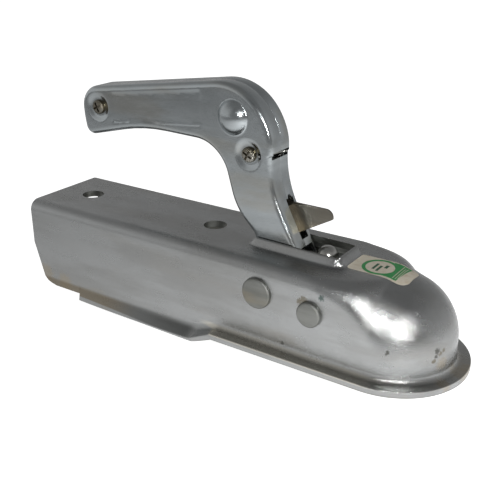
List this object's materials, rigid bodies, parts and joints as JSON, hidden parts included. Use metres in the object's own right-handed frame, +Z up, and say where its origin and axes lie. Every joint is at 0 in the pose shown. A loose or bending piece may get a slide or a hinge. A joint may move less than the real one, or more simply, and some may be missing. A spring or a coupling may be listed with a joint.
{
  "type": "trailer ball coupling head",
  "caption": "Pressed-steel ball coupling head with a folding two-shell handle, safety catch, spring-loaded jaw and bolt holes for a square drawbar.",
  "frame": {"origin": "centre of the ball that the head closes on", "axes": "+X along the drawbar towards the nose, +Y to the left side, +Z up"},
  "size_m": [0.256, 0.074, 0.1343],
  "materials": {
    "zinc_plate": "bright zinc plating with light scuffs",
    "zinc_handle": "bright zinc plating, bluish",
    "plain_steel": "satin",
    "yellow_zinc": "yellow passivated",
    "catch_steel": "brownish grey plating",
    "jaw_iron": "plated casting",
    "spring_steel": "oiled wire"
  },
  "bodies": {
    "housing": {"housing": "zinc_plate", "handle_rivet": "zinc_plate", "jaw_rivet": "zinc_plate", "handle_spacer_left": "plain_steel", "handle_spacer_right": "plain_steel", "jaw_spacer_left": "plain_steel", "jaw_spacer_right": "plain_steel", "handle_spring": "spring_steel", "jaw_spring": "spring_steel"},
    "handle": {"handle_shell_left": "zinc_handle", "handle_shell_right": "zinc_handle", "handle_screws": "yellow_zinc", "handle_nuts": "yellow_zinc", "handle_bush": "plain_steel", "locking_cam": "plain_steel", "cam_rivet": "plain_steel", "catch_pin": "plain_steel", "catch_spring": "spring_steel"},
    "catch": {"safety_catch": "catch_steel"},
    "jaw": {"jaw": "jaw_iron", "jaw_bush": "plain_steel"}
  },
  "joints": [
    {"name": "handle_pivot", "type": "hinge", "parent": "housing", "child": "handle", "pos_m": [-0.0605, 0, 0.0155], "axis": [0, 1, 0], "range_deg": [0, 22]},
    {"name": "catch_pivot", "type": "hinge", "parent": "handle", "child": "catch", "pos_m": [-0.0695, 0, 0.0515], "axis": [0, -1, 0], "range_deg": [0, 12], "stiffness_Nm_per_rad": 0.15, "springref_deg": -20.05},
    {"name": "jaw_pivot", "type": "hinge", "parent": "housing", "child": "jaw", "pos_m": [-0.0305, 0, 0.013], "axis": [0, 1, 0], "range_deg": [0, 14]}
  ],
  "couplings": [
    {"joint": "jaw_pivot", "follows": "handle_pivot", "ratio": 0.62}
  ]
}
